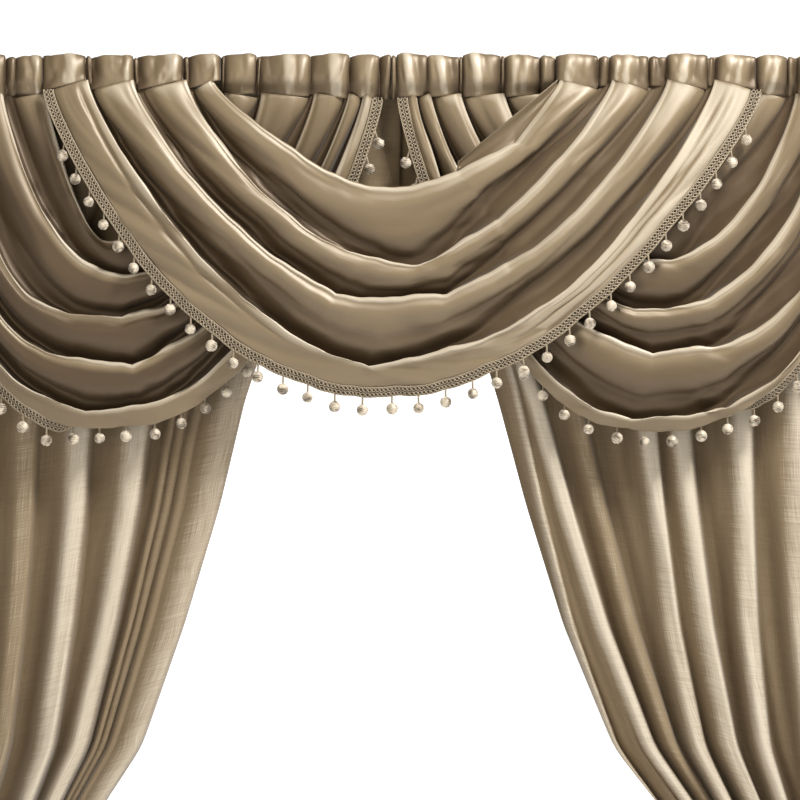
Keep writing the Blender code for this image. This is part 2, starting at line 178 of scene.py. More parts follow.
# The last face ends at the hem. Above the top rim the cloth returns behind it, and the centre swag's turned edge
# is pulled straight between two points on the right. Steps of a return: back, down, share of the turned edge.
LAST_FACE = (0.0, 0.07, 0.16, 0.28, 0.42, 0.58, 0.74, 0.88, 1.0)
RETURN = ((0.006, 0.030, 1.0), (0.009, 0.018, 0.75), (0.009, 0.007, 0.40), (0.005, 0.0005, 0.05))
# The return behind the top rim is painted dark as shade, and the centre swag's turned edge a little less.
RETURN_PAINTED_SHADE = 0.85
TURNED_EDGE_PAINTED_SHADE = 0.45
TURNED_EDGE = ((0.0885, -0.168), (0.2440, -0.0372))
WOBBLES = ((3.1, 0.0018), (7.3, 0.0012), (15.0, 0.0008), (31.0, 0.0004))
CENTRE = Swag(
    "swag_centre",
    (
        Line("cowl", -0.275, -0.025, 0.244, 0.208, 1.38, 2.15, 0.050, 0.026, 0.66, 0.72),
        Line("first", -0.315, 0.020, 0.322, 0.313, 2.20, 1.64, 0.064, 0.030, 0.76, 0.60),
        Line("second", -0.395, -0.015, 0.405, 0.369, 1.95, 2.10, 0.072, 0.034, 0.84, 0.76),
        Line("third", -0.463, -0.042, 0.476, 0.462, 1.73, 2.27, 0.074, 0.0, 1.0, 1.0),
        Line("hem", -0.513, 0.0, 0.529, 0.500, 2.40, 1.86, 0.062, 0.0, 1.0, 1.0),
    ),
    (
        Kink("cowl", 0.176, 0.012, 0.018),
        Kink("first", 0.033, 0.008, 0.030),
        Kink("second", -0.090, 0.007, 0.020),
        Kink("second", 0.072, 0.008, 0.022),
        Kink("third", -0.042, 0.008, 0.024),
    ),
    (
        Crease(0, 0.44, -0.48, 0.52, 0.0034, 0.060),
        Crease(0, 0.55, -0.50, 0.54, -0.0042, 0.035),
        Crease(1, 0.50, -0.62, 0.30, -0.0034, 0.040),
        Crease(2, 0.44, -0.45, 0.38, -0.0042, 0.035),
        Crease(3, 0.27, -1.00, -0.15, -0.0034, 0.08),
        Crease(3, 0.56, 0.20, 1.00, -0.0034, 0.05),
        Crease(3, 0.30, 0.25, 0.95, -0.0026, 0.04),
        Crease(3, 0.05, -0.04, 0.42, 0.0040, 0.05),
        Crease(2, 0.30, -0.35, 0.30, 0.0030, 0.05),
        Crease(1, 0.34, -0.30, 0.45, 0.0028, 0.05),
    ),
    0.0150,
    0.041,
    0.056,
    5.0,
    0.22,
    11,
)
LEFT = Swag(
    "swag_left",
    (
        Line("cowl", -0.526, -0.440, -0.2595, 0.283, 1.60, 2.20, 0.014, 0.020, 0.68, 0.86),
        Line("first", -0.592, -0.410, -0.204, 0.334, 2.20, 2.30, 0.025, 0.026, 0.72, 0.86),
        Line("second", -0.656, -0.430, -0.125, 0.394, 4.00, 2.40, 0.029, 0.028, 0.74, 0.80),
        Line("third", -0.716, -0.430, -0.072, 0.460, 3.30, 2.15, 0.031, 0.028, 0.76, 0.76),
        Line("fourth", -0.764, -0.420, -0.050, 0.534, 2.80, 2.08, 0.029, 0.0, 1.0, 1.0),
        Line("hem", -0.783, -0.435, -0.0375, 0.564, 2.40, 2.40, 0.018, 0.0, 1.0, 1.0),
    ),
    (
        Kink("second", -0.410, 0.004, 0.012),
        Kink("third", -0.396, 0.010, 0.020),
        Kink("fourth", -0.4635, 0.008, 0.020),
    ),
    (
        Crease(1, 0.44, -0.50, 0.60, 0.0030, 0.07),
        Crease(1, 0.56, -0.55, 0.55, -0.0042, 0.035),
        Crease(2, 0.24, -0.70, 0.60, -0.0038, 0.035),
        Crease(2, 0.48, -0.60, 0.50, 0.0028, 0.10),
        Crease(3, 0.40, -0.60, 0.70, 0.0032, 0.07),
        Crease(3, 0.52, -0.65, 0.70, -0.0046, 0.035),
    ),
    0.0,
    0.060,
    0.067,
    2.2,
    1.05,
    23,
)
RIGHT = Swag(
    "swag_right",
    (
        Line("cowl", 0.228, 0.405, 0.541, 0.180, 2.00, 1.85, 0.014, 0.020, 0.86, 0.68),
        Line("first", 0.161, 0.385, 0.598, 0.310, 2.00, 2.40, 0.025, 0.026, 0.86, 0.72),
        Line("second", 0.096, 0.392, 0.662, 0.382, 2.10, 2.45, 0.029, 0.028, 0.80, 0.74),
        Line("third", 0.050, 0.405, 0.720, 0.442, 2.35, 3.20, 0.031, 0.028, 0.76, 0.76),
        Line("fourth", 0.029, 0.385, 0.766, 0.546, 2.45, 2.80, 0.029, 0.0, 1.0, 1.0),
        Line("hem", 0.0165, 0.388, 0.785, 0.566, 2.62, 2.50, 0.018, 0.0, 1.0, 1.0),
    ),
    (
        Kink("second", 0.354, 0.006, 0.018),
        Kink("third", 0.3825, 0.010, 0.020),
        Kink("fourth", 0.351, 0.006, 0.018),
        Kink("fourth", 0.4905, 0.004, 0.014),
    ),
    (
        Crease(1, 0.44, -0.50, 0.60, 0.0030, 0.07),
        Crease(1, 0.56, -0.45, 0.75, -0.0042, 0.035),
        Crease(2, 0.30, -0.60, 0.50, 0.0028, 0.07),
        Crease(2, 0.44, -0.50, 0.70, -0.0042, 0.035),
        Crease(3, 0.36, -0.60, 0.70, 0.0032, 0.07),
        Crease(3, 0.48, -0.65, 0.70, -0.0046, 0.035),
    ),
    0.0,
    0.060,
    0.067,
    2.2,
    0.55,
    37,
)


def smooth_step(x):
    """0 up to x = 0, 1 from x = 1, and a smooth rise between."""
    x = np.clip(x, 0.0, 1.0)
    return x * x * (3.0 - 2.0 * x)


def line_points(swag, index, u):
    """Points of a fold line, u from -1 at its left seam to 1 at its right one."""
    line = swag.lines[index]
    share = np.abs(np.sin(u * math.pi / 2.0))
    end = np.where(u < 0, line.left, line.right)
    power = np.where(u < 0, line.power_left, line.power_right)
    steep = 1.0 - np.sqrt(np.maximum(0.0, 1.0 - share * share))
    rise = (1.0 - STEEP_SHARE) * share**power + STEEP_SHARE * steep
    x = line.low + (end - line.low) * share
    z = -line.drop + (line.drop - swag.seam_high) * rise
    for kink in swag.kinks:
        if kink.line == line.name:
            z = z - kink.depth * np.exp(-np.abs(x - kink.at) / kink.reach)
    random = np.random.default_rng(swag.seed + 10 * index)
    for turns, height in WOBBLES:
        z = z + height * np.sin(2 * math.pi * (turns * x + random.uniform())) * (1.0 - share**6)
    front = swag.seam_front + (line.front - swag.seam_front) * (1.0 - share**swag.front_power)
    return np.stack([x, -front, z], axis=-1)


def bend_points(swag, cell, k, u):
    """Row k of the cloth between two fold lines, and the painted shade of its colour."""
    line = swag.lines[cell]
    seam, left, right, middle = AT_SEAM[k], LEFT_RUN[k], RIGHT_RUN[k], MIDDLE[k]
    upper, lower = line_points(swag, cell, u), line_points(swag, cell + 1, u)
    share = np.abs(np.sin(u * math.pi / 2.0))
    near_seam = share**TUCK_POWER
    over = smooth_step(1.0 - share / OVERHANG_FROM)
    run = smooth_step(0.5 + 2.0 * u)
    run_at, run_back, run_painted_shade = (a + (b - a) * run for a, b in zip(left, right))
    at = run_at + (seam.at - run_at) * near_seam
    open_face = FACE_LEFT_RUN + (FACE_RIGHT_RUN - FACE_LEFT_RUN) * run
    face = open_face + (np.where(u < 0, line.face_left, line.face_right) - open_face) * near_seam
    along = np.minimum(at, 1.0) * face + np.maximum(at - 1.0, 0.0) * (1.0 - face)
    down = along + (middle.at - along) * over
    back = run_back + (seam.back - run_back) * near_seam
    back = back + (middle.back - back) * over
    hollow = run_painted_shade + (seam.hollow - run_painted_shade) * np.abs(u) ** 1.6
    hollow = hollow + (middle.hollow - hollow) * over
    depth = line.tuck + (SEAM_TUCK - line.tuck) * near_seam
    points = upper + (lower - upper) * down[:, None]
    points[:, 1] += back * depth
    slant = np.minimum(at, 2.0 - at) * (swag.seam_low - swag.seam_high)
    points[:, 2] -= slant * share**10
    return points, hollow


def last_points(swag, share, u):
    """A row of the last face, which ends at the hem."""
    last = len(swag.lines) - 1
    upper, lower = line_points(swag, last - 1, u), line_points(swag, last, u)
    points = upper + (lower - upper) * share
    near_seam = np.abs(np.sin(u * math.pi / 2.0)) ** TUCK_POWER
    lobe = 0.25 - 0.65 * math.sin(share * math.pi)
    points[:, 1] += lobe * SEAM_TUCK * near_seam
    points[:, 2] -= share * (swag.seam_low - swag.seam_high) * near_seam
    return points


def in_between(rows, steps):
    """Rows with steps - 1 more between each two, on a smooth curve through them all."""
    padded = np.concatenate([2 * rows[:1] - rows[1:2], rows, 2 * rows[-1:] - rows[-2:-1]])
    out = []
    for k in range(len(rows) - 1):
        a, b, c, d = padded[k : k + 4]
        for t in np.arange(steps) / steps:
            bend = (2 * a - 5 * b + 4 * c - d) * t**2
            cubic = (2 * b + (c - a) * t + bend + (3 * b - a - 3 * c + d) * t**3) / 2
            out.append(cubic)
    return np.array(out + [rows[-1]])


def ripples(along, across, seed, waves):
    """Gentle random waves of height about 1. waves gives how many there are to the metre each way."""
    random = np.random.default_rng(seed)
    total = np.zeros(np.broadcast(along, across).shape)
    for _ in range(9):
        turns = along * random.uniform(0.3, 1.0) * waves[0] * random.choice((-1, 1))
        turns = turns + across * random.uniform(0.3, 1.0) * waves[1]
        total += np.sin(2 * math.pi * (turns + random.uniform()))
    return total / 3.0


def lengths(points, axis):
    """How far along the cloth each point lies, in metres."""
    steps = np.linalg.norm(np.diff(points, axis=axis), axis=-1)
    zero = np.zeros_like(np.take(steps, [0], axis=axis))
    return np.concatenate([zero, np.cumsum(steps, axis=axis)], axis=axis)


def unit(vectors):
    """The vectors, each made 1 long."""
    return vectors / np.maximum(np.linalg.norm(vectors, axis=-1, keepdims=True), 1e-9)


def normals(points):
    """The cloth's direction towards the room at each point."""
    return unit(np.cross(np.gradient(points, axis=0), np.gradient(points, axis=1)))


def puckers(along, up, seed, per_metre):
    """Sharp creases across the way of along, between 0 in a crease and about 1 on a ridge."""
    random = np.random.default_rng(seed)
    total = np.zeros(np.broadcast(along, up).shape)
    weight = 0.0
    for k in range(5):
        share = 1.0 / (1.0 + 0.6 * k)
        turns = per_metre * random.uniform(0.35, 1.0) * along + random.uniform(-0.45, 0.45) * up
        bent = turns + 0.22 * np.sin(2 * math.pi * (up * random.uniform(0.5, 1.3) + random.uniform()))
        total += share * np.abs(np.sin(math.pi * (bent + random.uniform())))
        weight += share
    return total / weight


def cloth(name, points, hollow, thick, paint):
    """A sheet of quads through rows of points. Its UV map is in metres, and its colour gets painted light and
    shade from the given mask, which is 1 deep in a fold.
    """
    rows, columns = points.shape[:2]
    corners = np.arange(rows * columns).reshape(rows, columns)
    a, b = corners[:-1, :-1], corners[:-1, 1:]
    c, d = corners[1:, 1:], corners[1:, :-1]
    quads = np.stack([a, d, c, b], axis=-1).reshape(-1, 4)
    mesh = bpy.data.meshes.new(name)
    mesh.from_pydata(points.reshape(-1, 3).tolist(), [], quads.tolist())
    spots = np.stack([lengths(points, 1), lengths(points, 0)], axis=-1).reshape(-1, 2)
    wanted = np.empty(len(mesh.loops), np.int32)
    mesh.loops.foreach_get("vertex_index", wanted)
    layer = mesh.uv_layers.new(name="cloth")
    layer.uv.foreach_set("vector", spots[wanted].astype(np.float32).reshape(-1))
    shade = mesh.attributes.new("hollow", "FLOAT", "POINT")
    shade.data.foreach_set("value", hollow.astype(np.float32).reshape(-1))
    mesh.shade_smooth()
    mesh.materials.append(paint)
    made = bpy.data.objects.new(name, mesh)
    scene.collection.objects.link(made)
    body = made.modifiers.new("thickness", "SOLIDIFY")
    body.thickness, body.offset = thick, 0.0
    return made


class Wire:
    """A socket of a node tree. Sums on it add Math nodes."""

    def __init__(self, graph, socket):
        self.graph, self.socket = graph, socket

    def sum(self, operation, first, second):
        return self.graph.add("ShaderNodeMath", {"operation": operation}, {0: first, 1: second})

    def __add__(self, other):
        return self.sum("ADD", self, other)

    def __radd__(self, other):
        return self.sum("ADD", other, self)

    def __sub__(self, other):
        return self.sum("SUBTRACT", self, other)

    def __rsub__(self, other):
        return self.sum("SUBTRACT", other, self)

    def __mul__(self, other):
        return self.sum("MULTIPLY", self, other)

    def __rmul__(self, other):
        return self.sum("MULTIPLY", other, self)


class Graph:
    """A node tree, to which add() brings any node with its settings and inputs."""

    def __init__(self, tree):
        self.tree = tree

    def add(self, kind, settings=None, values=None, output=0):
        """A node with its settings, and a value or a wire for each named or numbered input."""
        node = self.tree.nodes.new(kind)
        for name, value in (settings or {}).items():
            setattr(node, name, value)
        for name, value in (values or {}).items():
            if isinstance(value, Wire):
                self.tree.links.new(value.socket, node.inputs[name])
            else:
                node.inputs[name].default_value = value
        return Wire(self, node.outputs[output]) if node.outputs else node

    def clamped(self, wire):
        """A number kept between 0 and 1."""
        return self.add("ShaderNodeClamp", {}, {0: wire})

    def blend(self, share, first, second):
        """A colour between two."""
        return self.add("ShaderNodeMix", {"data_type": "RGBA"}, {0: share, 6: first, 7: second}, 2)

    def scaled(self, vector, share):
        """A vector made share times as long."""
        return self.add("ShaderNodeVectorMath", {"operation": "SCALE"}, {0: vector, "Scale": share})

    def sum_of(self, first, second, third):
        """first times second, and third added."""
        return self.add("ShaderNodeMath", {"operation": "MULTIPLY_ADD"}, {0: first, 1: second, 2: third})

    def point_field(self, name, kind):
        """A vector or number that each point of the mesh carries."""
        return self.add("GeometryNodeInputNamedAttribute", {"data_type": kind}, {"Name": name})

    def bump(self, height, strength, distance):
        return self.add("ShaderNodeBump", {}, {"Strength": strength, "Distance": distance, "Height": height})

    def stretched_noise(self, place, scale, detail=2.0):
        """Noise on place, with so many cells to the metre each way."""
        moved = self.add("ShaderNodeVectorMath", {"operation": "MULTIPLY"}, {0: place, 1: scale})
        return self.add("ShaderNodeTexNoise", {}, {"Vector": moved, "Scale": 1.0, "Detail": detail})


def finish_material(name, build, fixed):
    """A Principled material. build gives its varying inputs, and fixed its plain ones."""
    made = bpy.data.materials.new(name)
    made.use_nodes = True
    made.node_tree.nodes.clear()
    graph = Graph(made.node_tree)
    shader = graph.add("ShaderNodeBsdfPrincipled", {}, {**fixed, **build(graph)})
    graph.add("ShaderNodeOutputMaterial", {}, {"Surface": shader})
    return made


# SATIN_FACE is the satin's own colour. The rim colour is painted highlight on the rims of the folds, and the deep
# one is painted shade in the folds.
SATIN_RIM_PAINTED_LIGHT = (0.440, 0.370, 0.270, 1.0)
SATIN_FACE = (0.212, 0.153, 0.083, 1.0)
SATIN_FOLD_PAINTED_SHADE = (0.080, 0.049, 0.021, 1.0)


def satin_build(graph):
    """Satin: long smooth floats of thread, with faint streaks along them, painted highlight on the rims of the
    folds and painted shade deep in them.
    """
    place = graph.add("ShaderNodeUVMap", {"uv_map": "cloth"})
    hollow = graph.add("ShaderNodeAttribute", {"attribute_name": "hollow"}, {}, "Fac")
    streaks = graph.stretched_noise(place, (14.0, 260.0, 1.0))
    cloud = graph.stretched_noise(place, (9.0, 26.0, 1.0))
    # depth is the painted shade that the cloth gets in its folds, with a little tone that differs at random.
    depth = hollow + 0.16 * (cloud - 0.5)
    pale = graph.blend(graph.clamped(depth * 6.0), SATIN_RIM_PAINTED_LIGHT, SATIN_FACE)
    colour = graph.blend(graph.clamped(depth * 1.15 - 0.15), pale, SATIN_FOLD_PAINTED_SHADE)
    threads = graph.stretched_noise(place, (500.0, 1900.0, 1.0), 1.0)
    bump = graph.bump(threads * 0.5 + streaks, 0.10, 0.0006)
    return {
        "Base Color": colour,
        # The satin is more metallic where its painted shade is deep, so the shaded parts reflect in their own
        # colour.
        "Metallic": graph.clamped(0.08 + 0.30 * hollow),
        "Roughness": 0.42 + 0.10 * streaks,
        "Normal": bump,
    }


satin = finish_material("champagne satin", satin_build, {"Specular IOR Level": 0.58, "Sheen Weight": 0.10})


def turned_edge(rim):
    """How far the centre swag's turned edge, pulled straight on the right, stands up behind its rim."""
    (start, low), (end, high) = TURNED_EDGE
    straight = low + (high - low) * (rim[:, 0] - start) / (end - start)
    return np.where(rim[:, 0] > start, np.maximum(0.0, straight - rim[:, 2]), 0.0)


def swag_surface(swag):
    """All the points of a swag, rows from its upper edge to its hem, and the painted shade of each."""
    u = np.linspace(-1.0, 1.0, SWAG_COLUMNS + 1)
    cells = len(swag.lines) - 2
    rows, painted_shades, marks = [], [], []
    rim = line_points(swag, 0, u)
    turned = turned_edge(rim) if swag is CENTRE else np.zeros_like(u)
    for back, down, share in RETURN:
        row = rim + np.array([0.0, back, 0.0])
        row[:, 2] += np.where(turned > 0.0, np.maximum(share * turned, -down), -down)
        rows.append(row)
        painted_shades.append(np.where(turned > 0.0, TURNED_EDGE_PAINTED_SHADE, RETURN_PAINTED_SHADE))
        marks.append(-down * 10.0)
    for cell in range(cells):
        for k in range(len(MIDDLE)):
            row, hollow = bend_points(swag, cell, k, u)
            rows.append(row)
            painted_shades.append(hollow)
            marks.append(cell + k / len(MIDDLE))
    for share in LAST_FACE:
        rows.append(last_points(swag, share, u))
        # The lower left of the last face gets a little painted shade.
        painted_shades.append(min(0.2, 0.9 * share) * smooth_step(1.0 - 2.0 * u))
        marks.append(cells + share)
    points, hollow = (in_between(np.array(values), ROWS_PER_BEND) for values in (rows, painted_shades))
    at = np.interp(np.arange(len(points)) / ROWS_PER_BEND, np.arange(len(marks)), marks)[:, None]
    near_seam = np.abs(u) ** 10
    along, down = lengths(points, 1), lengths(points, 0)
    lift = RIPPLE_HEIGHT * ripples(along, down, swag.seed, (4.0, 20.0)) * (1.0 - near_seam)
    crinkles = puckers(down, 1.6 * along, swag.seed + 2, 40.0) - 0.62
    past_rim = smooth_step((at - np.floor(at + 1e-9) - 0.20) / 0.12)
    lift = lift + CRINKLE_HEIGHT * crinkles * (0.45 + 0.55 * np.abs(u)) * (1.0 - near_seam) * past_rim
    folds = puckers(down, 0.5 * along, swag.seed + 1, 40.0) - 0.6
    lift = lift + SEAM_FOLD_HEIGHT * folds * np.abs(u) ** 14 * (1.0 - np.abs(u) ** 60)
    for crease in swag.creases:
        reach = smooth_step((u - crease.start) / 0.15) * smooth_step((crease.end - u) / 0.15)
        lift = lift + crease.height * np.exp(-(((at - crease.cell - crease.at) / crease.width) ** 2)) * reach
    # Painted shade: the faces past each rim darken by the swag's shade, most on the left swag, which lies in the
    # centre swag's shadow. The cloth right at each seam darkens, and so do creases that dip in.
    in_shade = swag.shade * past_rim * (1.0 - np.abs(u) ** 3) * np.where(at < cells, 1.0, 0.2)
    seam_painted_shade = 0.35 * np.abs(u) ** 90
    hollow = TROUGH_SHARE * hollow + in_shade + seam_painted_shade - CREASE_PAINTED_SHADE_PER_METRE * np.minimum(lift, 0.0)
    hollow = np.clip(hollow, 0.0, 1.0)
    return points + normals(points) * lift[..., None], hollow


swag_cloths = {}
for swag in (CENTRE, LEFT, RIGHT):
    points, hollow = swag_surface(swag)
    piece = cloth(swag.name + "_satin", points, hollow, SATIN_THICK, satin)
    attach(piece, "root")
    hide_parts(swag.name)
    swag_cloths[swag.name] = piece

# The rod pockets. The top of each swag is turned over the rod and stitched down, and as the cloth is pushed
# together on the rod it stands in full uneven lobes with deep creases between them. A Gather is one such lobe, up
# to the start of the next, with how far below the top its seam lies at either side, how far it leans, and how
# full it is, from 0 for one that is pushed back between two others.
Gather = namedtuple("Gather", "start drop_start drop_end lean full")
Pocket = namedtuple("Pocket", "name axis_y seam_front gathers end crown seed")
POCKET_DEPTH = 0.0158
POCKET_THICK = 0.0012
POCKET_RING = 44
POCKET_STEP = 0.0022
POCKET_FULLNESS = 1.4
CRUMPLE_WIDE = 0.0076
CRUMPLE_FINE = 0.0016
LOBE_SWELL = 0.0050
LOBE_NARROWING = 0.20
RECESS_DEPTH = 0.0105
RECESS_DROP = 0.0060
CREASE_DEPTH = 0.0085
NOTCH_DEPTH = 0.0055
POCKETS = (
    Pocket(
        "pocket_left_outer",
        0.0,
        0.0,
        (
            Gather(-0.8000, 0.0600, 0.0660, 0.004, 1.0),
            Gather(-0.7520, 0.0640, 0.0640, 0.000, 0.3),
            Gather(-0.7350, 0.0600, 0.0660, -0.003, 1.0),
            Gather(-0.6940, 0.0600, 0.0670, 0.005, 0.9),
            Gather(-0.6400, 0.0600, 0.0660, 0.000, 1.0),
            Gather(-0.5870, 0.0640, 0.0640, 0.000, 0.3),
            Gather(-0.5720, 0.0600, 0.0660, -0.004, 1.0),
        ),
        -0.5306,
        0.72,
        101,
    ),
    Pocket(
        "pocket_centre_left",
        0.0,
        0.015,
        (
            Gather(-0.5300, 0.0570, 0.0425, -0.010, 1.0),
            Gather(-0.4660, 0.0480, 0.0480, -0.004, 0.2),
            Gather(-0.4580, 0.0560, 0.0430, -0.006, 1.0),
            Gather(-0.3940, 0.0480, 0.0480, -0.004, 0.2),
            Gather(-0.3880, 0.0560, 0.0425, -0.003, 1.0),
            Gather(-0.3200, 0.0480, 0.0480, -0.004, 0.2),
            Gather(-0.3120, 0.0540, 0.0420, -0.006, 1.0),
        ),
        -0.2643,
        0.80,
        102,
    ),
    Pocket(
        "pocket_left_inner",
        0.0,
        0.0,
        (
            Gather(-0.2637, 0.0600, 0.0640, 0.002, 0.3),
            Gather(-0.2590, 0.0640, 0.0600, 0.004, 1.0),
            Gather(-0.2110, 0.0620, 0.0620, 0.004, 0.2),
            Gather(-0.2060, 0.0610, 0.0650, 0.006, 1.0),
            Gather(-0.1300, 0.0610, 0.0680, 0.008, 1.0),
            Gather(-0.0720, 0.0660, 0.0670, 0.010, 0.9),
            Gather(-0.0270, 0.0690, 0.0690, 0.004, 0.4),
        ),
        -0.0093,
        0.74,
        103,
    ),
    Pocket(
        "pocket_right_inner",
        0.0,
        0.0,
        (
            Gather(-0.0087, 0.0690, 0.0690, 0.000, 0.4),
            Gather(0.0000, 0.0660, 0.0640, -0.008, 1.0),
            Gather(0.0460, 0.0660, 0.0620, -0.006, 1.0),
            Gather(0.0940, 0.0640, 0.0640, 0.000, 0.2),
            Gather(0.0990, 0.0660, 0.0620, -0.004, 1.0),
            Gather(0.1560, 0.0640, 0.0640, 0.000, 0.2),
            Gather(0.1620, 0.0660, 0.0610, 0.004, 1.0),
            Gather(0.2140, 0.0620, 0.0600, 0.000, 0.5),
        ),
        0.2377,
        0.28,
        104,
    ),
    Pocket(
        "pocket_centre_right",
        0.0,
        0.015,
        (
            Gather(0.2383, 0.0420, 0.0560, 0.008, 1.0),
            Gather(0.3010, 0.0500, 0.0500, 0.004, 0.3),
            Gather(0.3190, 0.0420, 0.0570, 0.006, 1.0),
            Gather(0.3770, 0.0500, 0.0500, 0.004, 0.3),
            Gather(0.4050, 0.0420, 0.0560, 0.006, 1.0),
            Gather(0.4660, 0.0500, 0.0500, 0.004, 0.3),
            Gather(0.4780, 0.0420, 0.0560, 0.010, 1.0),
        ),
        0.5377,
        0.20,
        105,
    ),
    Pocket(
        "pocket_right_outer",
        0.0,
        0.0,
        (
            Gather(0.5383, 0.0660, 0.0610, 0.004, 1.0),
            Gather(0.5850, 0.0640, 0.0640, 0.000, 0.3),
            Gather(0.6000, 0.0660, 0.0610, 0.000, 1.0),
            Gather(0.6430, 0.0660, 0.0620, -0.004, 0.9),
            Gather(0.6970, 0.0660, 0.0610, 0.003, 1.0),
            Gather(0.7380, 0.0640, 0.0640, 0.000, 0.3),
            Gather(0.7520, 0.0650, 0.0610, 0.002, 1.0),
        ),
        0.8000,
        0.28,
        106,
    ),
)


def pocket_surface(pocket):
    """A closed loop of cloth round the rod, columns along it, and the painted shade of each point."""
    across = []
    ends = [gather.start for gather in pocket.gathers[1:]] + [pocket.end]
    for k, (gather, end) in enumerate(zip(pocket.gathers, ends)):
        steps = max(6, round((end - gather.start) / POCKET_STEP))
        share = (1.0 - np.cos(np.linspace(0.0, math.pi, steps + 1))) / 2.0
        part = [(k, t) for t in 0.45 * share + 0.55 * np.linspace(0.0, 1.0, steps + 1)]
        across += part if k == len(ends) - 1 else part[:-1]
    which = np.array([k for k, _ in across])
    t = np.array([t for _, t in across])[:, None]
    table = np.array([[*gather, end] for gather, end in zip(pocket.gathers, ends)])[which][:, :, None]
    start, drop_start, drop_end, lean, full, end = (table[:, k] for k in range(6))
    angle = np.linspace(0.0, 2 * math.pi, POCKET_RING + 1)[None, :]
    up = (1.0 - np.cos(angle)) / 2.0
    front = np.sin(angle) > 0.0
    shape = np.random.default_rng(pocket.seed)
    crown = pocket.crown + shape.uniform(-0.10, 0.10, len(pocket.gathers))[which][:, None]
    height = shape.uniform(-0.0030, 0.0012, len(pocket.gathers))[which][:, None]
    rise = np.clip(t / crown, 0.0, 1.0) ** 0.62
    fall = np.clip((1.0 - t) / (1.0 - crown), 0.0, 1.0) ** 0.62
    lobe = np.minimum(rise, fall)
    x = start + (end - start) * t
    wide = puckers(x, np.where(front, 0.45 * up, 0.3 - up), pocket.seed, 46.0) - 0.62
    fine = puckers(x, np.where(front, 1.6 * up, 0.3 - up), pocket.seed + 50, 75.0) - 0.62
    crumple = CRUMPLE_WIDE * wide + CRUMPLE_FINE * fine * (0.3 + 2.0 * (1.0 - up) ** 2)
    reach = POCKET_DEPTH + LOBE_SWELL * (lobe - 0.6) - CREASE_DEPTH * (1.0 - lobe) ** 1.5 + crumple
    reach = reach - RECESS_DEPTH * (1.0 - full)
    seam_y = pocket.seam_front - 0.005 + 0.007 * lobe - RECESS_DEPTH * (1.0 - full)
    drop = drop_start + (drop_end - drop_start) * t
    top = 0.0006 - height + NOTCH_DEPTH * (1.0 - lobe) ** 1.3 - 0.5 * crumple + RECESS_DROP * (1.0 - full)
    z = -drop + (drop - top) * up
    closing = np.sqrt(np.maximum(0.0, 1.0 - up**3.2))
    wall = smooth_step(up / 0.40)
    forward = -(seam_y + (reach - seam_y) * wall) * closing
    backward = (-seam_y + (0.8 * reach + seam_y) * smooth_step(up / 0.30)) * closing
    y = np.where(front, forward, backward)
    # Painted shade: darker in the creases between lobes, in the dips of the crumples and on the gathers pushed
    # back between others. The dark line along the seam is partly the seam itself and partly painted shade under
    # the lobe.
    hollow = 0.10 + 1.5 * (1.0 - lobe) ** 2 - 80.0 * crumple + 0.7 * (1.0 - up) ** 60 + 0.8 * (1.0 - full)
    hollow = np.clip(hollow, 0.0, 1.0)
    narrower = LOBE_NARROWING * (x - (start + end) / 2.0) * (1.0 - up) ** 1.5 * lobe
    points = np.stack([x + lean * (up - 0.3) * lobe - narrower, pocket.axis_y + y, z], axis=-1)
    points[:, -1] = points[:, 0]
    return np.swapaxes(points, 0, 1), np.swapaxes(hollow, 0, 1)


def make_pocket(pocket, paint):
    """A rod pocket, as one sheet that is gathered on its rod."""
    points, hollow = pocket_surface(pocket)
    piece = cloth(pocket.name + "_gathers", points, hollow, POCKET_THICK, paint)
    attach(piece, "root")
    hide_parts(pocket.name)


for pocket in POCKETS:
    long = (pocket.end - pocket.gathers[0].start) * POCKET_FULLNESS
    make_pocket(pocket, satin)

# The braid. A woven gimp braid is sewn along each swag's hem: an open ground, painted near black as the shade in
# the holes between the loops, two rows of looped cord over it and a fine edging cord on each side. Low on the
# side swags it is turned under and lies behind the satin, from turned_from to turned_to, which run from -1 at the
# hem's left seam to 1 at its right one.
Trim = namedtuple("Trim", "name swag first_ball last_ball turned_from turned_to")
TRIMS = (
    Trim("trim_centre", CENTRE, 0.080, 0.055, 0.0, 0.0),
    Trim("trim_left", LEFT, 0.050, 0.045, -0.20, 0.55),
    Trim("trim_right", RIGHT, 0.075, 0.050, -0.55, 0.32),
)
TURN_LENGTH = 0.14
TURNED_BACK = 0.0055
TURNED_UP = 0.0180
RIM_CLEAR = 0.0040
HEM_POINTS = 600
BRAID_WIDTH = 0.0165
GROUND_THICK = 0.0010
GROUND_ACROSS = (0.0, 0.06, 0.28, 0.50, 0.72, 0.94, 1.0)
CORD_STEP = 0.0008
CORD_RADIUS = 0.00085
CORD_LIFT = 0.0013
CORD_HOP = 0.0005
LOOP_LENGTH = 0.0118
CORD_LIGHT = (0.47, 0.385, 0.26, 1.0)
CORD_DARK = (0.15, 0.105, 0.055, 1.0)
# The ground's near-black colours are painted shade for the holes between the loops.
GROUND_HOLE_SHADE_LIGHT = (0.060, 0.037, 0.017, 1.0)
GROUND_HOLE_SHADE_DARK = (0.020, 0.012, 0.005, 1.0)


def thread_build(light, dark):
    """Twisted cotton thread: fine slanting strands, and patches of tone that differ at random."""

    def build(graph):
        place = graph.add("ShaderNodeTexCoord", {}, {}, "Object")
        strands = graph.stretched_noise(place, (1500.0, 1500.0, 1500.0), 1.0)
        patches = graph.stretched_noise(place, (60.0, 60.0, 60.0))
        colour = graph.blend(0.7 * strands + 0.5 * patches - 0.1, light, dark)
        bump = graph.bump(strands, 0.35, 0.0004)
        return {"Base Color": colour, "Roughness": 0.48 + 0.2 * strands, "Normal": bump}

    return build


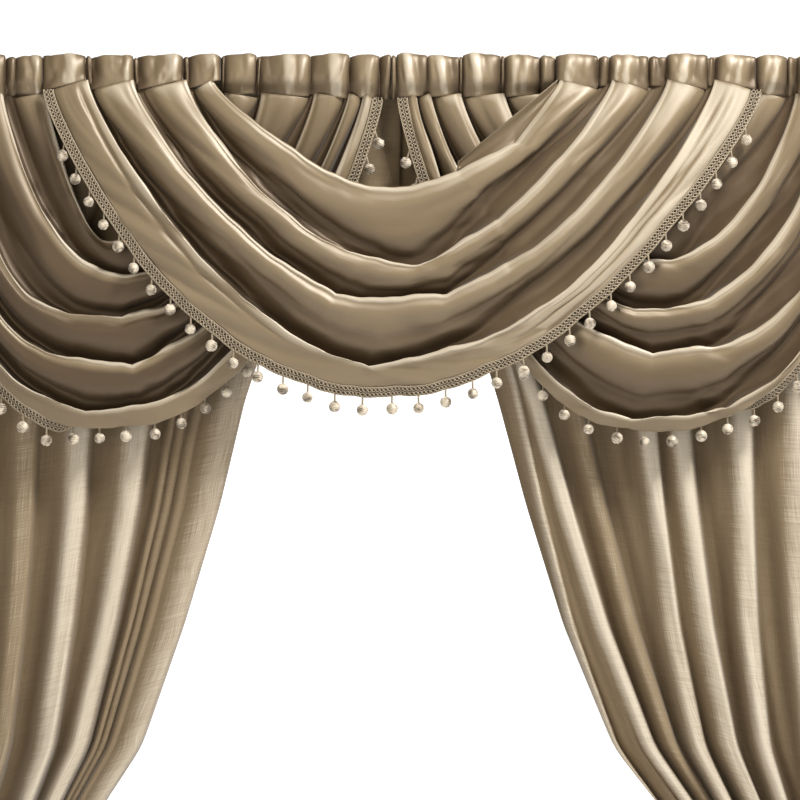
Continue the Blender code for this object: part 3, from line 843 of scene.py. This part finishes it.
cord_paint = finish_material("gimp cord", thread_build(CORD_LIGHT, CORD_DARK), {"Sheen Weight": 0.15})
ground_hole_shade_paint = finish_material("gimp ground", thread_build(GROUND_HOLE_SHADE_LIGHT, GROUND_HOLE_SHADE_DARK), {"Sheen Weight": 0.10})


def new_tree(name, inputs):
    """A Geometry Nodes tree with named inputs, as its graph, its first geometry and its input wires."""
    tree = bpy.data.node_groups.new(name, "GeometryNodeTree")
    tree.interface.new_socket("Geometry", in_out="INPUT", socket_type="NodeSocketGeometry")
    for label, kind in inputs:
        tree.interface.new_socket(label, in_out="INPUT", socket_type="NodeSocket" + kind)
    tree.interface.new_socket("Geometry", in_out="OUTPUT", socket_type="NodeSocketGeometry")
    graph = Graph(tree)
    source = tree.nodes.new("NodeGroupInput")
    wires = {socket.name: Wire(graph, socket) for socket in source.outputs if socket.name}
    return graph, wires


def end_tree(graph, geometry, paint, chosen=True):
    """Realize Instances, Set Material on the chosen faces, and the output."""
    real = graph.add("GeometryNodeRealizeInstances", {}, {"Geometry": geometry})
    painted = graph.add(
        "GeometryNodeSetMaterial", {}, {"Geometry": real, "Selection": chosen, "Material": paint}
    )
    graph.add("NodeGroupOutput", {}, {"Geometry": painted})


def grown(source, tree, values, name):
    """A plain mesh object that the tree grows from source, which is deleted."""
    growth = source.modifiers.new("growth", "NODES")
    growth.node_group = tree
    for item in tree.interface.items_tree:
        if item.in_out == "INPUT" and item.name in values:
            growth[item.identifier] = values[item.name]
    bpy.context.view_layer.update()
    mesh = bpy.data.meshes.new_from_object(source.evaluated_get(bpy.context.evaluated_depsgraph_get()))
    made = bpy.data.objects.new(name, mesh)
    mesh.name = name
    bpy.data.objects.remove(source)
    scene.collection.objects.link(made)
    return made


def path_object(name, points, links, fields):
    """A mesh of bare points, joined in a line if links is true, with vector or number fields on them."""
    mesh = bpy.data.meshes.new(name)
    edges = [(k, k + 1) for k in range(len(points) - 1)] if links else []
    mesh.from_pydata(points.tolist(), edges, [])
    for label, values in fields.items():
        vector = values.ndim == 2
        layer = mesh.attributes.new(label, "FLOAT_VECTOR" if vector else "FLOAT", "POINT")
        layer.data.foreach_set("vector" if vector else "value", values.astype(np.float32).reshape(-1))
    made = bpy.data.objects.new(name, mesh)
    scene.collection.objects.link(made)
    return made


def cord_tree():
    """A cord that swings from side to side along a path, and over and under as it goes."""
    inputs = [
        ("Place Across", "Float"),
        ("Swing", "Float"),
        ("Turns", "Float"),
        ("Phase", "Float"),
        ("Lift", "Float"),
        ("Hop", "Float"),
        ("Cord Radius", "Float"),
        ("Cord Material", "Material"),
    ]
    graph, wires = new_tree("looped cord", inputs)
    across, front = graph.point_field("across", "FLOAT_VECTOR"), graph.point_field("front", "FLOAT_VECTOR")
    along = graph.point_field("along", "FLOAT")
    turn = graph.sum_of(along, wires["Turns"], wires["Phase"])
    swing = graph.add("ShaderNodeMath", {"operation": "SINE"}, {0: turn})
    hop = graph.add("ShaderNodeMath", {"operation": "COSINE"}, {0: turn})
    sideways = wires["Place Across"] + wires["Swing"] * swing
    outwards = wires["Lift"] + wires["Hop"] * hop
    move = graph.scaled(across, sideways)
    raised = graph.scaled(front, outwards)
    offset = graph.add("ShaderNodeVectorMath", {"operation": "ADD"}, {0: move, 1: raised})
    curve = graph.add("GeometryNodeMeshToCurve", {}, {"Mesh": wires["Geometry"]})
    moved = graph.add("GeometryNodeSetPosition", {}, {"Geometry": curve, "Offset": offset})
    ring = graph.add("GeometryNodeCurvePrimitiveCircle", {}, {"Resolution": 5, "Radius": wires["Cord Radius"]})
    tube = graph.add("GeometryNodeCurveToMesh", {}, {"Curve": moved, "Profile Curve": ring, "Fill Caps": True})
    smooth = graph.add("GeometryNodeSetShadeSmooth", {}, {"Geometry": tube})
    end_tree(graph, smooth, wires["Cord Material"])
    return graph.tree


def resampled(points, fields, step):
    """The points and fields at even steps along their line, and the distance of each along it."""
    reach = lengths(points[None], 1)[0]
    wanted = np.linspace(0.0, reach[-1], max(2, round(reach[-1] / step)) + 1)
    out = []
    for values in [points] + fields:
        out.append(np.stack([np.interp(wanted, reach, values[:, k]) for k in range(3)], axis=-1))
    return out + [wanted]


def hem_path(trim):
    """The braid's upper edge, and at each point the way down across the braid and the way to the room."""
    swag = trim.swag
    u = np.linspace(-1.0, 1.0, HEM_POINTS)
    hem = line_points(swag, len(swag.lines) - 1, u)
    above = line_points(swag, len(swag.lines) - 2, u)
    across = unit(hem - above)
    hem[:, 2] -= (swag.seam_low - swag.seam_high) * np.abs(np.sin(u * math.pi / 2)) ** TUCK_POWER
    along = unit(np.gradient(hem, axis=0))
    across = unit(across - along * np.sum(along * across, axis=1, keepdims=True))
    front = unit(np.cross(along, across))
    front *= -np.sign(front[:, 1:2])
    turned = smooth_step((u - trim.turned_from) / TURN_LENGTH) * smooth_step((trim.turned_to - u) / TURN_LENGTH)
    back = TURNED_BACK * smooth_step(2.0 * turned)[:, None]
    face = np.sum((hem - above) * across, axis=1)
    up = (np.clip(face - RIM_CLEAR, 0.0, TURNED_UP) * smooth_step(2.0 * turned - 1.0))[:, None]
    return hem - front * back - across * up, across, front


Cord = namedtuple("Cord", "place swing phase")
CORDS = (
    Cord(0.0047, 0.0029, 0.0),
    Cord(0.0047, 0.0029, math.pi),
    Cord(0.0119, 0.0029, 0.5 * math.pi),
    Cord(0.0119, 0.0029, 1.5 * math.pi),
    Cord(0.0010, 0.0, 0.0),
    Cord(0.0156, 0.0, 0.0),
)
looped_cord = cord_tree()
braids = {}
for trim in TRIMS:
    hem, across, front = hem_path(trim)
    hem, across, front, along = resampled(hem, [across, front], CORD_STEP)
    strip = np.stack([hem + across * BRAID_WIDTH * share for share in GROUND_ACROSS])[:, ::6]
    # The ground strip is painted near black as the shade in the braid's holes.
    ground = cloth(trim.name + "_ground", strip, np.zeros(strip.shape[:2]), GROUND_THICK, ground_hole_shade_paint)
    parts = [ground]
    for k, cord in enumerate(CORDS):
        every = 1 if cord.swing else 4
        fields = {"across": across[::every], "front": front[::every], "along": along[::every]}
        path = path_object("path", hem[::every], True, fields)
        values = {
            "Place Across": cord.place,
            "Swing": cord.swing,
            "Turns": 2 * math.pi / LOOP_LENGTH,
            "Phase": cord.phase,
            "Lift": CORD_LIFT,
            "Hop": CORD_HOP if cord.swing else 0.0,
            "Cord Radius": CORD_RADIUS,
            "Cord Material": cord_paint,
        }
        parts.append(grown(path, looped_cord, values, f"{trim.name}_cord_{k + 1}"))
    for part in parts:
        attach(part, "root")
        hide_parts(trim.name)
    braids[trim.name] = parts

# The ball fringe. From the braid's lower edge hang wound thread balls, each on a short twisted string.
BALL_PITCH = 0.040
BALL_RADIUS = 0.0083
STRING_LENGTH = 0.0105
STRING_RADIUS = 0.0014
BALL_CLEAR = 0.0015
SEWN_IN = 0.002
WINDING_DEPTH = 0.00045
WINDING_PITCH = 0.0030
WINDING_AXIS = (0.45, 0.25, 0.86)
FIRST_SEED = 7
BALL_LIGHT = (0.62, 0.53, 0.40, 1.0)
BALL_DARK = (0.085, 0.058, 0.028, 1.0)
STRING_LIGHT = (0.38, 0.31, 0.21, 1.0)
STRING_DARK = (0.14, 0.10, 0.055, 1.0)


def wound_build(graph):
    """Thread wound on a ball, with painted shade in the grooves between the turns and patches of tone that differ
    at random.
    """
    winding = graph.add("ShaderNodeAttribute", {"attribute_name": "winding"}, {}, "Fac")
    place = graph.add("ShaderNodeTexCoord", {}, {}, "Object")
    strands = graph.stretched_noise(place, (900.0, 900.0, 900.0), 1.0)
    patches = graph.stretched_noise(place, (95.0, 95.0, 95.0), 1.0)
    # Painted shade: darker where the winding dips into a groove between the turns. The patches are random tone.
    tone = graph.clamped(0.42 - 0.30 * winding + 2.8 * (patches - 0.5))
    colour = graph.blend(tone, BALL_LIGHT, BALL_DARK)
    bump = graph.bump(strands, 0.4, 0.0004)
    return {"Base Color": colour, "Roughness": 0.36 + 0.15 * strands, "Normal": bump}


ball_paint = finish_material("wound thread", wound_build, {"Sheen Weight": 0.25})
string_paint = finish_material(
    "twisted string", thread_build(STRING_LIGHT, STRING_DARK), {"Sheen Weight": 0.20}
)


def ball_tree():
    """A ball with ridges of wound thread at each point, and a string that runs up to the braid."""
    inputs = [
        ("Ball Radius", "Float"),
        ("Winding Depth", "Float"),
        ("Windings", "Float"),
        ("String Radius", "Float"),
        ("Seed", "Int"),
        ("Ball Material", "Material"),
        ("String Material", "Material"),
    ]
    graph, wires = new_tree("ball on a string", inputs)
    globe = graph.add(
        "GeometryNodeMeshUVSphere", {}, {"Segments": 26, "Rings": 22, "Radius": wires["Ball Radius"]}
    )
    spot = graph.add("GeometryNodeInputPosition")
    height = graph.add("ShaderNodeVectorMath", {"operation": "DOT_PRODUCT"}, {0: spot, 1: WINDING_AXIS}, "Value")
    winding = graph.add("ShaderNodeMath", {"operation": "SINE"}, {0: height * wires["Windings"]})
    out = graph.add("GeometryNodeInputNormal")
    offset = graph.scaled(out, winding * wires["Winding Depth"])
    ridged = graph.add("GeometryNodeSetPosition", {}, {"Geometry": globe, "Offset": offset})
    ridged = graph.add(
        "GeometryNodeStoreNamedAttribute",
        {"data_type": "FLOAT", "domain": "POINT"},
        {"Geometry": ridged, "Name": "winding", "Value": winding},
    )
    size = graph.add(
        "FunctionNodeRandomValue", {"data_type": "FLOAT"}, {2: 0.93, 3: 1.05, "Seed": wires["Seed"]}, 1
    )
    tilt = graph.add(
        "FunctionNodeRandomValue",
        {"data_type": "FLOAT_VECTOR"},
        {0: (-0.35, -0.35, -3.1), 1: (0.35, 0.35, 3.1), "Seed": wires["Seed"]},
    )
    balls = graph.add(
        "GeometryNodeInstanceOnPoints",
        {},
        {"Points": wires["Geometry"], "Instance": ridged, "Rotation": tilt, "Scale": size},
    )
    root = graph.point_field("string", "FLOAT_VECTOR")
    length = graph.add("ShaderNodeVectorMath", {"operation": "LENGTH"}, {0: root}, "Value")
    rod = graph.add(
        "GeometryNodeMeshCylinder",
        {},
        {"Vertices": 8, "Side Segments": 3, "Radius": wires["String Radius"], "Depth": 1.0},
    )
    stood = graph.add("GeometryNodeTransform", {}, {"Geometry": rod, "Translation": (0.0, 0.0, 0.5)})
    aim = graph.add("FunctionNodeAlignRotationToVector", {"axis": "Z"}, {"Vector": root})
    stretch = graph.add("ShaderNodeCombineXYZ", {}, {"X": 1.0, "Y": 1.0, "Z": length})
    strings = graph.add(
        "GeometryNodeInstanceOnPoints",
        {},
        {"Points": wires["Geometry"], "Instance": stood, "Rotation": aim, "Scale": stretch},
    )
    painted = [
        graph.add("GeometryNodeSetMaterial", {}, {"Geometry": made, "Material": wires[label]})
        for made, label in ((balls, "Ball Material"), (strings, "String Material"))
    ]
    both = graph.tree.nodes.new("GeometryNodeJoinGeometry")
    for made in painted:
        graph.tree.links.new(made.socket, both.inputs[0])
    smooth = graph.add("GeometryNodeSetShadeSmooth", {}, {"Geometry": Wire(graph, both.outputs[0])})
    end_tree(graph, smooth, wires["String Material"], False)
    return graph.tree


def ball_spots(trim):
    """The balls' centres, and from each the way to the braid."""
    hem, across, _ = hem_path(trim)
    reach = lengths(hem[None], 1)[0]
    usable = reach[-1] - trim.first_ball - trim.last_ball
    wanted = trim.first_ball + usable * np.linspace(0.0, 1.0, round(usable / BALL_PITCH) + 1)
    edge, outward = (
        np.stack([np.interp(wanted, reach, values[:, k]) for k in range(3)], axis=-1)
        for values in (hem + across * BRAID_WIDTH, across)
    )
    centre = edge + np.array([0.0, 0.0, -(STRING_LENGTH + BALL_RADIUS)])
    away = np.sum((centre - edge) * outward, axis=1, keepdims=True)
    centre = centre + outward * np.maximum(0.0, BALL_RADIUS + BALL_CLEAR - away)
    return centre, edge - outward * SEWN_IN - centre


ball_fringe = ball_tree()
for k, trim in enumerate(TRIMS):
    centres, strings = ball_spots(trim)
    spots = path_object("spots", centres, False, {"string": strings})
    values = {
        "Ball Radius": BALL_RADIUS,
        "Winding Depth": WINDING_DEPTH,
        "Windings": 2 * math.pi / WINDING_PITCH,
        "String Radius": STRING_RADIUS,
        "Seed": FIRST_SEED + k,
        "Ball Material": ball_paint,
        "String Material": string_paint,
    }
    fringe = grown(spots, ball_fringe, values, trim.name + "_balls")
    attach(fringe, "root")
    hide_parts(trim.name)
    braids[trim.name].append(fringe)

# Each swag's braid and balls are looked up by the swag's name.
Cut = namedtuple("Cut", "width length area")
for name, piece in swag_cloths.items():
    fringe = braids[name.replace("swag", "trim")]

# The curtain panels. A pair of plain panels of slubbed cloth hangs on a second rod behind the swags. They are
# gathered on it, drawn aside, and held low down by tie-backs, so their folds fan in to the tie. A Level is a
# panel's two edges and the height of its folds at one drop, and a Ridge is one fold, steeper on its sharp side.
Level = namedtuple("Level", "drop inner outer fold")
Ridge = namedtuple("Ridge", "high low width height")
Panel = namedtuple("Panel", "name levels ridges seed sharp_side")
PANEL_ROD_Y = 0.0403
PANEL_THICK = 0.0012
PANEL_COLUMNS = 260
PANEL_ROWS = 190
RIDGES_HIGH_AT = 0.585
RIDGES_LOW_AT = 1.045
TIE_DROP = 1.440
WAIST_HALF_HEIGHT = 0.042
WAIST_REACH = 0.13
WAIST_INSIDE = 0.94
SHADED_ABOVE = 0.42
# The pale colour is painted light on the tops of the ridges, the deep one is painted shade in the valleys, and
# the middle one is the cloth's own colour.
PANEL_RIDGE_PAINTED_LIGHT = (0.53, 0.46, 0.355, 1.0)
PANEL_MIDDLE = (0.235, 0.172, 0.100, 1.0)
PANEL_VALLEY_PAINTED_SHADE = (0.115, 0.078, 0.038, 1.0)
LEFT_PANEL = Panel(
    "panel_left",
    (
        Level(0.0523, 0.006, -0.797, 0.006),
        Level(0.130, 0.006, -0.797, 0.011),
        Level(0.215, 0.004, -0.797, 0.013),
        Level(0.310, -0.100, -0.797, 0.014),
        Level(0.420, -0.196, -0.796, 0.015),
        Level(0.520, -0.230, -0.795, 0.016),
        Level(0.680, -0.268, -0.794, 0.018),
        Level(0.860, -0.322, -0.793, 0.020),
        Level(1.045, -0.387, -0.791, 0.023),
        Level(1.190, -0.482, -0.789, 0.027),
        Level(1.310, -0.596, -0.785, 0.031),
        Level(1.400, -0.668, -0.780, 0.034),
        Level(1.480, -0.668, -0.780, 0.034),
        Level(1.570, -0.634, -0.789, 0.034),
        Level(1.740, -0.586, -0.800, 0.032),
        Level(2.134, -0.540, -0.808, 0.029),
    ),
    (
        Ridge(0.035, 0.040, 0.040, 0.82),
        Ridge(0.120, 0.110, 0.012, 0.42),
        Ridge(0.155, 0.145, 0.010, 0.38),
        Ridge(0.185, 0.170, 0.009, 0.42),
        Ridge(0.272, 0.232, 0.034, 0.96),
        Ridge(0.430, 0.355, 0.034, 0.96),
        Ridge(0.572, 0.520, 0.030, 0.60),
        Ridge(0.710, 0.700, 0.036, 0.92),
        Ridge(0.800, 0.800, 0.040, 0.85),
        Ridge(0.920, 0.920, 0.040, 0.90),
    ),
    5,
    -1,
)
RIGHT_PANEL = Panel(
    "panel_right",
    tuple(
        Level(level.drop, inner, -level.outer, level.fold)
        for level, inner in zip(
            LEFT_PANEL.levels,
            (
                -0.006, -0.006, -0.004, 0.072, 0.122, 0.153, 0.196, 0.252,
                0.328, 0.440, 0.582, 0.668, 0.668, 0.634, 0.586, 0.540,
            ),
        )
    ),
    (
        Ridge(0.042, 0.006, 0.008, 0.80),
        Ridge(0.062, 0.060, 0.030, 0.52),
        Ridge(0.090, 0.116, 0.020, 0.98),
        Ridge(0.178, 0.190, 0.022, 0.50),
        Ridge(0.338, 0.278, 0.023, 0.98),
        Ridge(0.418, 0.378, 0.026, 0.94),
        Ridge(0.565, 0.488, 0.026, 0.96),
        Ridge(0.700, 0.650, 0.034, 0.90),
        Ridge(0.820, 0.800, 0.040, 0.80),
        Ridge(0.930, 0.930, 0.040, 0.90),
    ),
    9,
    1,
)


def panel_build(graph):
    """Slubbed cloth: a plain weave with thick and thin threads across it, painted light on the ridges and painted
    shade in the valleys.
    """
    place = graph.add("ShaderNodeUVMap", {"uv_map": "cloth"})
    hollow = graph.add("ShaderNodeAttribute", {"attribute_name": "hollow"}, {}, "Fac")
    slubs = graph.stretched_noise(place, (16.0, 620.0, 1.0), 3.0)
    warp = graph.stretched_noise(place, (900.0, 18.0, 1.0), 2.0)
    fuzz = graph.stretched_noise(place, (1400.0, 1400.0, 1.0), 1.0)
    tone = hollow + 0.40 * (slubs - 0.5) + 0.50 * (warp - 0.5)
    pale = graph.blend(graph.clamped(tone * 2.6), PANEL_RIDGE_PAINTED_LIGHT, PANEL_MIDDLE)
    colour = graph.blend(graph.clamped(tone * 1.6 - 0.6), pale, PANEL_VALLEY_PAINTED_SHADE)
    bump = graph.bump(slubs + 0.6 * warp + 0.4 * fuzz, 0.30, 0.0008)
    return {"Base Color": colour, "Roughness": 0.60 + 0.18 * fuzz, "Normal": bump}


panel_paint = finish_material(
    "slubbed curtain cloth", panel_build, {"Sheen Weight": 0.15, "Specular IOR Level": 0.28}
)


def panel_surface(panel):
    """The points of a panel, rows from the top, and the painted light and shade of each."""
    drop = np.linspace(panel.levels[0].drop, panel.levels[-1].drop, PANEL_ROWS + 1)
    table = np.array([list(level) for level in panel.levels])
    inner, outer, fold = (np.interp(drop, table[:, 0], table[:, k])[:, None] for k in (1, 2, 3))
    for _ in range(2):
        for edge in (inner, outer):
            edge[1:-1] = (edge[:-2] + 2 * edge[1:-1] + edge[2:]) / 4
    s = np.linspace(0.0, 1.0, PANEL_COLUMNS + 1)[None, :]
    drop = drop[:, None]
    down = np.clip((drop - RIDGES_HIGH_AT) / (RIDGES_LOW_AT - RIDGES_HIGH_AT), -0.4, 1.6)
    total = np.zeros((len(drop), PANEL_COLUMNS + 1))
    for ridge in panel.ridges:
        centre = ridge.high + (ridge.low - ridge.high) * down
        away = (s - centre) * panel.sharp_side / ridge.width
        bell = ridge.height * np.exp(-np.where(away > 0.0, np.abs(away) ** 7.0, np.abs(away / 1.6) ** 2.6))
        total = np.maximum(total, bell) + 0.15 * np.minimum(total, bell)
    small = ripples(s * 14.0, drop, panel.seed, (1.0, 0.5))
    front = np.clip(1.75 * total - 0.85 + 0.10 * small, -1.0, 1.0)
    held = np.maximum(0.0, 1.0 - np.maximum(0.0, np.abs(drop - TIE_DROP) - WAIST_HALF_HEIGHT) / WAIST_REACH) ** 2
    round_in = np.sqrt(np.maximum(0.0, 1.0 - (2.0 * s - 1.0) ** 2))
    depth = fold * (1.0 - held + held * round_in * WAIST_INSIDE)
    height = np.broadcast_to(-drop, front.shape)
    points = np.stack([inner + (outer - inner) * s, PANEL_ROD_Y - front * depth, height], axis=-1)
    # Painted light on the ridges' tops and painted shade in the valleys, and a painted shadow of the swags on the
    # top of the panel.
    in_shade = 0.30 * smooth_step((SHADED_ABOVE - drop) / 0.12)
    return points, np.clip(0.46 - 0.50 * front + in_shade, 0.0, 1.0)


for panel in (LEFT_PANEL, RIGHT_PANEL):
    points, hollow = panel_surface(panel)
    if panel is LEFT_PANEL:
        points, hollow = points[:, ::-1], hollow[:, ::-1]
    piece = cloth(panel.name + "_curtain", points, hollow, PANEL_THICK, panel_paint)
    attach(piece, "root")
    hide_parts(panel.name)

# The panels' rod pockets. Each is the top of its panel, turned over the rod nearer the wall and stitched down,
# and it is gathered in the same way as the swags' pockets.
PANEL_POCKET_ENDS = (0.0012, 0.7970)
PANEL_GATHERS = 12
PANEL_SEAM_DROP = 0.0523
for side, name, seed in ((-1, "panel_pocket_left", 201), (1, "panel_pocket_right", 202)):
    edges = np.sort(side * np.linspace(*PANEL_POCKET_ENDS, PANEL_GATHERS + 1))
    gathers = tuple(
        Gather(edge, PANEL_SEAM_DROP, PANEL_SEAM_DROP, 0.004 * math.sin(5.0 * k), 1.0)
        for k, edge in enumerate(edges[:-1])
    )
    pocket = Pocket(name, PANEL_ROD_Y, 0.0, gathers, edges[-1], 0.5, seed)
    make_pocket(pocket, panel_paint)

# The tie-backs. A soft band of the panel's cloth is drawn tight round each panel, and creases into small folds
# along it.
TIE_HEIGHT = 0.064
WAIST_X = 0.724
TIE_HALF_WIDTH = 0.0585
TIE_HALF_DEPTH = 0.0365
TIE_THICK = 0.0024
TIE_FOLD = 0.0020
TIE_SIDES = 120
TIE_ROWS = 30
for side, name in ((-1, "tieback_left"), (1, "tieback_right")):
    turn = np.linspace(0.0, 2 * math.pi, TIE_SIDES + 1)[None, :] * side
    up = np.linspace(0.5, -0.5, TIE_ROWS + 1)[:, None]
    folds = puckers(up * 0.09, np.cos(turn), 31, 46.0) - 0.6
    swell = TIE_FOLD * folds * (1.0 - (2.0 * np.abs(up)) ** 6) + PANEL_THICK
    x = side * WAIST_X + (TIE_HALF_WIDTH + swell) * np.cos(turn)
    y = PANEL_ROD_Y + (TIE_HALF_DEPTH + swell) * np.sin(turn)
    z = -TIE_DROP + TIE_HEIGHT * up * (1.0 - 0.06 * np.abs(np.cos(turn))) + 0.0015 * np.sin(2.0 * turn)
    points = np.stack([x, y, z], axis=-1)
    points[:, -1] = points[:, 0]
    # Painted shade in the creases of the small folds, and painted light on their ridges.
    hollow = np.clip(0.30 - 1.6 * folds, 0.0, 1.0)
    piece = cloth(name + "_band", points, hollow, TIE_THICK, panel_paint)
    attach(piece, "root")
    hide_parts(name)
